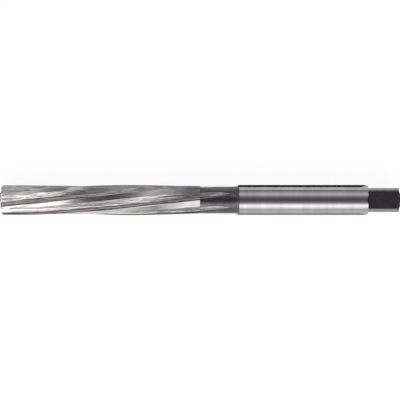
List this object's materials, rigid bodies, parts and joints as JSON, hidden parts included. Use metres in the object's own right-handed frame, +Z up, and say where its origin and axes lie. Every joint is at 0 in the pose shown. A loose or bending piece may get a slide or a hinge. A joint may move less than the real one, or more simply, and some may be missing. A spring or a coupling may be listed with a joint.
{
  "type": "hand reamer",
  "caption": "Straight hand reamer with left-hand spiral flutes for right-hand cutting, relieved neck, plain ground shank and a driving square.",
  "frame": {"origin": "under the middle of the overall length, on the surface that the reamer lies on", "axes": "+X along the axis from the cutting end to the driving square, +Z up through one flat of the square"},
  "size_m": [0.133, 0.01, 0.01],
  "materials": {
    "tool_steel": "bright ground flutes and shank, dark neck, square flats and ends"
  },
  "bodies": {
    "root": {"hand_reamer": "tool_steel"}
  },
  "joints": []
}
